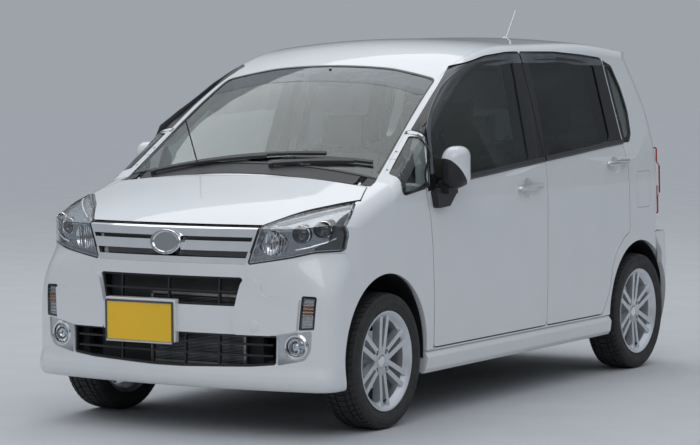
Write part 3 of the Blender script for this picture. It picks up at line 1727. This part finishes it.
def puffed(mesh, size, rise, seams):
    """Cover blown up over a pad by cloth pressure; seams are x values that stay sewn down."""
    data = bpy.data.meshes.new("pad")
    mesh.to_mesh(data)
    mesh.free()
    holder = bpy.data.objects.new("pad", data)
    bpy.context.collection.objects.link(holder)
    remesh = holder.modifiers.new("remesh", "REMESH")
    remesh.mode = "VOXEL"
    remesh.voxel_size = size
    graph = bpy.context.evaluated_depsgraph_get()
    skin = bpy.data.meshes.new_from_object(holder.evaluated_get(graph), depsgraph=graph)
    holder.modifiers.remove(remesh)
    holder.data = skin
    before = np.empty(len(skin.vertices) * 3)
    skin.vertices.foreach_get("co", before)
    before = before.reshape(-1, 3)
    sewn = holder.vertex_groups.new(name="sewn")
    for index, point in enumerate(before):
        if any(abs(point[0] - x) < size * 1.1 for x in seams):
            sewn.add([index], 1.0, "REPLACE")
    cloth = holder.modifiers.new("cloth", "CLOTH")
    cloth.settings.use_pressure = True
    cloth.settings.uniform_pressure_force = 4.0
    cloth.settings.effector_weights.gravity = 0.0
    cloth.settings.vertex_group_mass = "sewn"
    cloth.point_cache.frame_start = 1
    cloth.point_cache.frame_end = 20
    for step in range(1, 21):
        bpy.context.scene.frame_set(step)
    graph = bpy.context.evaluated_depsgraph_get()
    blown = bpy.data.meshes.new_from_object(holder.evaluated_get(graph), depsgraph=graph)
    bpy.context.scene.frame_set(1)
    after = np.empty(len(blown.vertices) * 3)
    blown.vertices.foreach_get("co", after)
    move = after.reshape(-1, 3) - before
    length = np.linalg.norm(move, axis=1, keepdims=True)
    move *= np.minimum(1.0, rise / np.maximum(length, 1e-9))
    blown.vertices.foreach_set("co", (before + move).ravel())
    holder.modifiers.remove(cloth)
    skin = blown
    whole = bmesh.new()
    whole.from_mesh(skin)
    bpy.data.objects.remove(holder)
    bmesh.ops.smooth_vert(
        whole, verts=whole.verts, factor=0.5, use_axis_x=True, use_axis_y=True, use_axis_z=True
    )
    return whole


# Part of the seat, its side outline, half its width, rounding of its edges and its rise
PADS = (
    ("cushion", FRONT_CUSHION, 0.228, 0.035, CUSHION_RISE, (-0.15, 0.15)),
    ("back", FRONT_BACK, 0.218, 0.035, CUSHION_RISE, (-0.14, 0.14)),
    ("head_rest", HEAD_REST, 0.118, 0.02, HEAD_RISE, ()),
)
# Place of each seat: x of its middle, y and z shift, width against a front seat's
SEAT_PLACES = (
    ("front_left", 0.330, 0.0, 0.0, 1.0),
    ("front_right", -0.330, 0.0, 0.0, 1.0),
    ("rear_left", 0.272, *REAR_SEAT_SHIFT, 1.08),
    ("rear_right", -0.272, *REAR_SEAT_SHIFT, 1.08),
)


class KEICAR_OT_seats(bpy.types.Operator):
    """Padded front seats and rear bench with their piping, plinths and posts"""

    bl_idname = "keicar.seats"
    bl_label = "Seats"

    def execute(self, context):
        settings = context.scene.kei_car_seats
        hard = []
        piping = []
        for part, outline, half, edge, rise, seams in PADS:
            pad = pad_shape(outline, -half, half, edge)
            cover = puffed(pad, settings.voxel, rise, seams)
            line = rounded(offset(outline, rise * 0.55), 0.02)
            for name, x, y, z, width in SEAT_PLACES:
                copy = cover.copy()
                if part == "head_rest":
                    width = 1.0
                place = Matrix.Translation((x, y, z)) @ Matrix.Diagonal((width, 1, 1, 1))
                bmesh.ops.transform(copy, matrix=place, verts=copy.verts)
                made = piece("%s_seat_%s" % (name, part), copy, "seat_fabric")
                made.modifiers.new("smooth", "SUBSURF").levels = 1
                made.modifiers["smooth"].render_levels = 1
                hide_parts("seats")
                for across in (-half + edge * 0.4, half - edge * 0.4):
                    path = [(x + across * width, y + u, z + v) for u, v in line]
                    cord = swept(path, oval(0.005, 0.005, 6), True, (1, 0, 0))
                    piping.append(cord)
            cover.free()
        for name, x, y, z, width in SEAT_PLACES:
            half = 0.195 * width
            hard.append(
                box((x - half, y - 0.225, 0.222), (x + half, y + 0.105, 0.440 + z), 0.012)
            )
            for offset_x in (-0.06, 0.06):
                foot = (x + offset_x, y + 0.294, z + 1.035)
                top = (x + offset_x, y + 0.300, z + 1.130)
                hard.append(swept([foot, top], oval(0.013, 0.013, 14), False, (0, 1, 0)))
        base = piece("seat_plinths", joined(hard), "dark_plastic")
        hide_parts("seats")
        trim = piece("seat_piping", joined(piping), "seat_piping")
        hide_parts("seats")
        return {"FINISHED"}


# Mirrors and aerial
MIRROR_SPLIT = ((0.80, -0.728, 1.08), (0.15, 0.734, 0.66))
AERIAL = ((0.0, 1.288, 1.600), (0.0, 1.405, 1.757))


class KEICAR_OT_mirrors(bpy.types.Operator):
    """Painted caps of the door mirrors, their collars and the roof aerial"""

    bl_idname = "keicar.mirrors"
    bl_label = "Mirrors and aerial"

    def execute(self, context):
        point, normal = MIRROR_SPLIT

        def on_head(middle, _normal):
            return middle.z > 0.985

        shell = node_skin("mirror_left", [(point, normal)], on_head, 0.0012)
        hosts = ("front_door_left", "front_door_right")
        both_pieces("mirror_cap", shell, "body_paint", hosts)
        collar = lathe(
            [(0.0, 0.0), (0.024, 0.0), (0.027, 0.004), (0.027, 0.016), (0.022, 0.020), (0.0, 0.020)],
            (0.762, -0.700, 0.960),
            (0.0, 0.0, 1.0),
            36,
        )
        both_pieces("mirror_collar", collar, "black_plastic", hosts)
        rod = lathe(
            [(0.0, -0.001), (0.0048, 0.0), (0.0040, 0.02), (0.0032, 0.10), (0.0030, 0.193), (0.0, 0.196)],
            AERIAL[0],
            Vector(AERIAL[1]) - Vector(AERIAL[0]),
            16,
        )
        piece("aerial_sheath", rod, "black_plastic")
        return {"FINISHED"}


# Cabin lining
class KEICAR_OT_cabin(bpy.types.Operator):
    """Lining of the doors, pillars, roof and floor, and the dashboard's details"""

    bl_idname = "keicar.cabin"
    bl_label = "Cabin"

    def execute(self, context):
        for end in ("front", "rear"):
            name = "%s_door_left" % end
            hosts = (name, "%s_door_right" % end)
            low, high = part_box(name)

            def faces_in(middle, normal, low=low, high=high):
                clear = 0.012 < middle.y - low[1] and middle.y < high[1] - 0.012
                return normal.x < -0.55 and middle.z < 0.985 and clear and middle.z > 0.30

            card = node_skin(name, [], faces_in, 0.0008)
            both_pieces("%s_door_card" % end, card, "beige_trim", hosts)
            y0 = low[1] + 0.10 if end == "rear" else -0.55
            y1 = high[1] - 0.22
            z = 0.735
            path = []
            for k in range(9):
                y = y0 + (y1 - y0) * k / 8
                path.append((on_surface([name], "cabin", y, z, 0.018).x, y, z))
            rest = swept(path, oval(0.052, 0.038, 14))
            both_pieces("%s_arm_rest" % end, rest, "dark_plastic", hosts)

        def is_ceiling(middle, normal):
            return normal.z < -0.5

        ceiling = node_skin("roof_panel", [], is_ceiling, 0.001)
        piece("roof_lining", ceiling, "headliner")

        def is_floor(middle, normal):
            return normal.z > 0.5 and abs(middle.x) < 0.64

        piece("carpet", node_skin("floor_pan", [], is_floor, 0.0012), "carpet")

        def is_lining(middle, normal):
            inward = normal.x * (1 if middle.x > 0 else -1) < -0.35
            return inward and middle.z > 0.30 and -0.80 < middle.y < 1.36

        lining = node_skin("body_shell", [], is_lining, 0.0008)
        piece("pillar_lining", lining, "beige_trim")
        mirror = pad_shape(
            [(-0.402, 1.392, 0.012), (-0.402, 1.452, 0.012), (-0.380, 1.456, 0.012), (-0.380, 1.396, 0.012)],
            -0.11,
            0.11,
            0.008,
        )
        stem = swept([(0, -0.398, 1.44), (0, -0.392, 1.476)], oval(0.012, 0.012, 12), False, (0, 1, 0))
        piece("cabin_mirror", joined([mirror, stem]), "dark_plastic")
        return {"FINISHED"}


# Wipers: x and y of both ends of each blade
WIPER_BLADES = (((-0.330, -1.052), (0.330, -0.968)), ((0.200, -1.012), (0.560, -0.975)))


class KEICAR_OT_wipers(bpy.types.Operator):
    """Rubber blades and joints of the windscreen wipers"""

    bl_idname = "keicar.wipers"
    bl_label = "Wiper blades"

    def execute(self, context):
        blades = []
        for (x0, y0), (x1, y1) in WIPER_BLADES:
            path = []
            for k in range(13):
                x = x0 + (x1 - x0) * k / 12
                y = y0 + (y1 - y0) * k / 12
                path.append(on_surface(["fixed_glass"], "plan", x, y, 0.009))
            blades.append(swept(path, oval(0.006, 0.011, 8), False, (0, -1, 1)))
        piece("wiper_rubbers", joined(blades), "black_plastic")
        return {"FINISHED"}


# Light and camera
# Name of each area lamp, its place, what it looks at, its size and its power
LAMPS = (
    ("key_light", (4.0, -9.0, 7.5), (0, -0.6, 0.9), (7.0, 5.0), 150.0),
    ("roof_light", (-3.0, 2.0, 9.0), (0, 0, 1.2), (8.0, 8.0), 200.0),
)
# Height of the sky as the z of its direction, and its colour there
SKY = (
    (0.0, (0.17, 0.18, 0.19)),
    (0.10, (0.13, 0.14, 0.153)),
    (0.28, (0.27, 0.296, 0.322)),
    (0.55, (0.55, 0.595, 0.645)),
    (0.85, (0.70, 0.74, 0.80)),
)


def soft_lamp(name, place, aim, size, power):
    """Area lamp that looks at a point."""
    lamp = bpy.data.lights.new(name, "AREA")
    lamp.shape = "RECTANGLE"
    lamp.size, lamp.size_y = size
    lamp.energy = power
    holder = bpy.data.objects.new(name, lamp)
    holder.location = place
    way = Vector(aim) - Vector(place)
    holder.rotation_euler = way.to_track_quat("-Z", "Y").to_euler()
    bpy.context.collection.objects.link(holder)
    return holder


def light_the_sky(world, settings):
    """Bright sky over a dim horizon, and one plain colour behind the car."""
    tree = world.node_tree
    background = tree.nodes["Background"]
    coordinates = tree.nodes.new("ShaderNodeTexCoord")
    parts = tree.nodes.new("ShaderNodeSeparateXYZ")
    ramp = tree.nodes.new("ShaderNodeValToRGB")
    stops = ramp.color_ramp.elements
    stops[0].position, stops[0].color = SKY[0][0], (*SKY[0][1], 1.0)
    stops[1].position, stops[1].color = SKY[-1][0], (*SKY[-1][1], 1.0)
    for position, color in SKY[1:-1]:
        stops.new(position).color = (*color, 1.0)
    path = tree.nodes.new("ShaderNodeLightPath")
    choice = tree.nodes.new("ShaderNodeMix")
    choice.data_type = "RGBA"
    colors = [socket for socket in choice.inputs if socket.type == "RGBA"]
    colors[1].default_value = (*settings.backdrop_color, 1.0)
    tree.links.new(coordinates.outputs["Generated"], parts.inputs["Vector"])
    tree.links.new(parts.outputs["Z"], ramp.inputs["Fac"])
    tree.links.new(path.outputs["Is Camera Ray"], choice.inputs["Factor"])
    tree.links.new(ramp.outputs["Color"], colors[0])
    results = [socket for socket in choice.outputs if socket.type == "RGBA"]
    tree.links.new(results[0], background.inputs["Color"])
    background.inputs["Strength"].default_value = settings.sky_strength


class KEICAR_OT_stage(bpy.types.Operator):
    """Floor, light and the camera at the photograph's angle"""

    bl_idname = "keicar.stage"
    bl_label = "Stage"

    def execute(self, context):
        settings = context.scene.kei_car_stage
        mesh = bpy.data.meshes.new("studio_floor")
        far = FLOOR_REACH
        corners = [(-far, -far, 0), (far, -far, 0), (far, far, 0), (-far, far, 0)]
        mesh.from_pydata(corners, [], [(0, 1, 2, 3)])
        floor = bpy.data.objects.new("studio_floor", mesh)
        context.collection.objects.link(floor)
        material = principled("floor_paint", tuple(settings.floor_color), 0.85)
        vary_color(
            material,
            object_noise(material, 3.0, 8.0),
            shade(settings.floor_color, 0.94),
            tuple(settings.floor_color),
        )
        mesh.materials.append(material)

        world = bpy.data.worlds.new("studio")
        context.scene.world = world
        world.use_nodes = True
        light_the_sky(world, settings)
        for row in LAMPS:
            soft_lamp(*row)

        camera = bpy.data.objects.new("photo_camera", bpy.data.cameras.new("photo_camera"))
        context.collection.objects.link(camera)
        context.scene.camera = camera
        azimuth, elevation = settings.azimuth, settings.elevation
        turn = Matrix.Rotation(azimuth, 4, "Z") @ Matrix.Rotation(
            math.radians(90) - elevation, 4, "X"
        )
        turn = turn @ Matrix.Rotation(settings.roll, 4, "Z")
        camera.matrix_world = Matrix.Translation(settings.place) @ turn
        camera.data.sensor_width = SENSOR
        camera.data.lens = settings.focal_pixels / PHOTO_WIDTH * SENSOR
        camera.data.shift_x = (PHOTO_WIDTH / 2 - PHOTO_CENTRE[0]) / PHOTO_WIDTH
        camera.data.shift_y = (PHOTO_CENTRE[1] - PHOTO_HEIGHT / 2) / PHOTO_WIDTH
        camera.data.clip_end = VIEW_REACH
        context.scene.view_settings.view_transform = "Standard"
        return {"FINISHED"}


class KEICAR_PT_panel(bpy.types.Panel):
    """The car's operators in the 3D view's sidebar"""

    bl_idname = "KEICAR_PT_panel"
    bl_label = "Kei Car"
    bl_space_type = "VIEW_3D"
    bl_region_type = "UI"
    bl_category = "Kei Car"

    def draw(self, context):
        for group in SETTINGS:
            settings = getattr(context.scene, group)
            for name in settings.bl_rna.properties.keys():
                if name not in ("rna_type", "name"):
                    self.layout.prop(settings, name)
        for operator in OPERATORS:
            self.layout.operator(operator.bl_idname)


SETTINGS = {
    "kei_car_finish": KeiCarFinishSettings,
    "kei_car_trim": KeiCarTrimSettings,
    "kei_car_wheels": KeiCarWheelSettings,
    "kei_car_front": KeiCarFrontSettings,
    "kei_car_seats": KeiCarSeatSettings,
    "kei_car_stage": KeiCarStageSettings,
}
OPERATORS = (
    KEICAR_OT_finish_nodes,
    KEICAR_OT_windows,
    KEICAR_OT_grips,
    KEICAR_OT_wheels,
    KEICAR_OT_headlamps,
    KEICAR_OT_small_lamps,
    KEICAR_OT_front_end,
    KEICAR_OT_rear_end,
    KEICAR_OT_seats,
    KEICAR_OT_mirrors,
    KEICAR_OT_cabin,
    KEICAR_OT_wipers,
    KEICAR_OT_stage,
)
CLASSES = (*SETTINGS.values(), *OPERATORS, KEICAR_PT_panel)


def register():
    for kind in CLASSES:
        bpy.utils.register_class(kind)
    for name, kind in SETTINGS.items():
        setattr(bpy.types.Scene, name, bpy.props.PointerProperty(type=kind))


def unregister():
    for name in SETTINGS:
        delattr(bpy.types.Scene, name)
    for kind in reversed(CLASSES):
        bpy.utils.unregister_class(kind)


def main():
    register()
    for operator in OPERATORS:
        group, name = operator.bl_idname.split(".")
        getattr(getattr(bpy.ops, group), name)()


if __name__ == "__main__":
    main()
